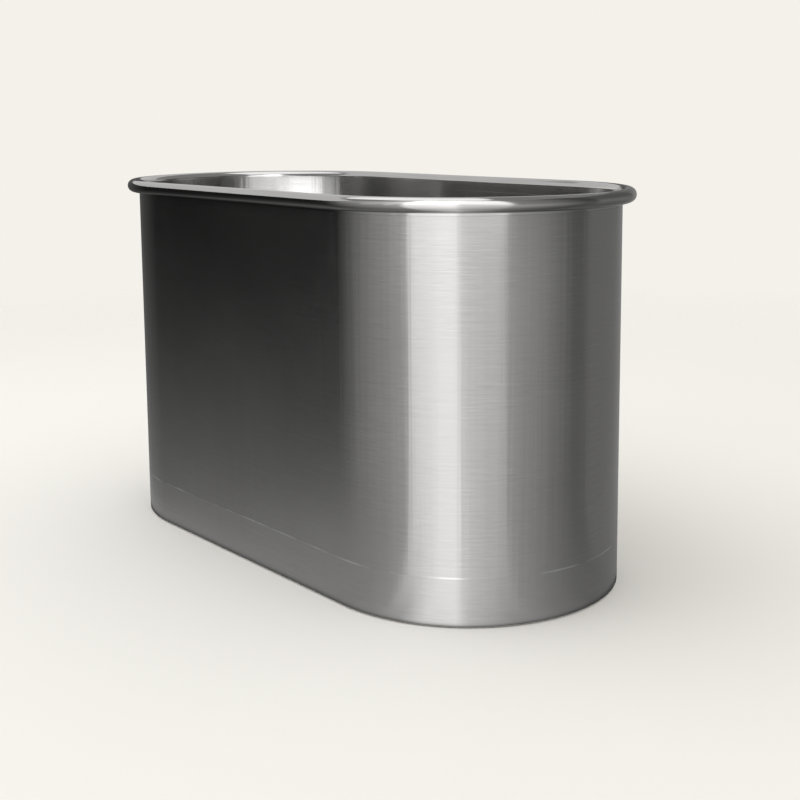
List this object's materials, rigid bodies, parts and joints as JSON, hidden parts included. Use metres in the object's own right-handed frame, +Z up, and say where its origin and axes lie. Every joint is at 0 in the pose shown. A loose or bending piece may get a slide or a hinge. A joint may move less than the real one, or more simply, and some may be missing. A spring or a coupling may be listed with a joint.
{
  "type": "cold plunge tub",
  "caption": "Round-ended single-skin stainless steel cold plunge tub with a rolled rim, a raised floor with a drain, and chiller ports with ball valves on its rear side.",
  "frame": {"origin": "on the ground under the middle of the tub, at the underside of the middle foot strip", "axes": "+X along the tub's length, +Y towards the rear side that carries the valves, +Z up"},
  "size_m": [1.2, 0.6887, 0.7],
  "materials": {
    "brushed_steel": "brushed lengthwise, satin",
    "polished_steel": "satin polished",
    "mill_steel": "mill",
    "cast_steel": "cast and bead blasted",
    "rubber": "matte",
    "seat_plastic": "waxy",
    "grip_vinyl": "dipped vinyl, satin"
  },
  "bodies": {
    "tub": {"tub_wall": "brushed_steel", "rim_bead": "polished_steel", "floor_pan": "brushed_steel", "support_channel_left": "mill_steel", "support_channel_middle": "mill_steel", "support_channel_right": "mill_steel", "foot_strip_left": "rubber", "foot_strip_middle": "rubber", "foot_strip_right": "rubber", "drain_gasket": "rubber", "drain_body": "cast_steel", "drain_grate": "polished_steel", "grate_screw_left": "polished_steel", "grate_screw_right": "polished_steel", "drain_locknut": "cast_steel", "drain_elbow": "cast_steel", "drain_pipe": "mill_steel", "skirt_grommet": "rubber", "suction_bulkhead": "cast_steel", "suction_gasket": "rubber", "suction_washer": "polished_steel", "suction_locknut": "cast_steel", "suction_screen": "polished_steel", "return_bulkhead": "cast_steel", "return_gasket": "rubber", "return_washer": "polished_steel", "return_locknut": "cast_steel", "return_screen": "polished_steel", "drain_valve_body": "cast_steel", "drain_valve_seat_inlet": "seat_plastic", "drain_valve_seat_outlet": "seat_plastic", "drain_valve_gland": "cast_steel", "drain_hose_tail": "cast_steel", "suction_valve_body": "cast_steel", "suction_valve_seat_inlet": "seat_plastic", "suction_valve_seat_outlet": "seat_plastic", "suction_valve_gland": "cast_steel", "suction_hose_tail": "cast_steel", "return_valve_body": "cast_steel", "return_valve_seat_inlet": "seat_plastic", "return_valve_seat_outlet": "seat_plastic", "return_valve_gland": "cast_steel", "return_hose_tail": "cast_steel"},
    "drain_lever": {"drain_valve_ball": "polished_steel", "drain_valve_stem": "polished_steel", "drain_valve_lever": "polished_steel", "drain_valve_grip": "grip_vinyl", "drain_valve_lever_nut": "polished_steel"},
    "suction_lever": {"suction_valve_ball": "polished_steel", "suction_valve_stem": "polished_steel", "suction_valve_lever": "polished_steel", "suction_valve_grip": "grip_vinyl", "suction_valve_lever_nut": "polished_steel"},
    "return_lever": {"return_valve_ball": "polished_steel", "return_valve_stem": "polished_steel", "return_valve_lever": "polished_steel", "return_valve_grip": "grip_vinyl", "return_valve_lever_nut": "polished_steel"}
  },
  "joints": [
    {"name": "drain_valve_turn", "type": "hinge", "parent": "tub", "child": "drain_lever", "pos_m": [-0.165, 0.31866, 0.0305], "axis": [0, 0, 1], "range_deg": [0, 90]},
    {"name": "suction_valve_turn", "type": "hinge", "parent": "tub", "child": "suction_lever", "pos_m": [0.165, 0.31866, 0.175], "axis": [0, 0, 1], "range_deg": [0, 90]},
    {"name": "return_valve_turn", "type": "hinge", "parent": "tub", "child": "return_lever", "pos_m": [-0.165, 0.31866, 0.42], "axis": [0, 0, 1], "range_deg": [0, 90]}
  ]
}
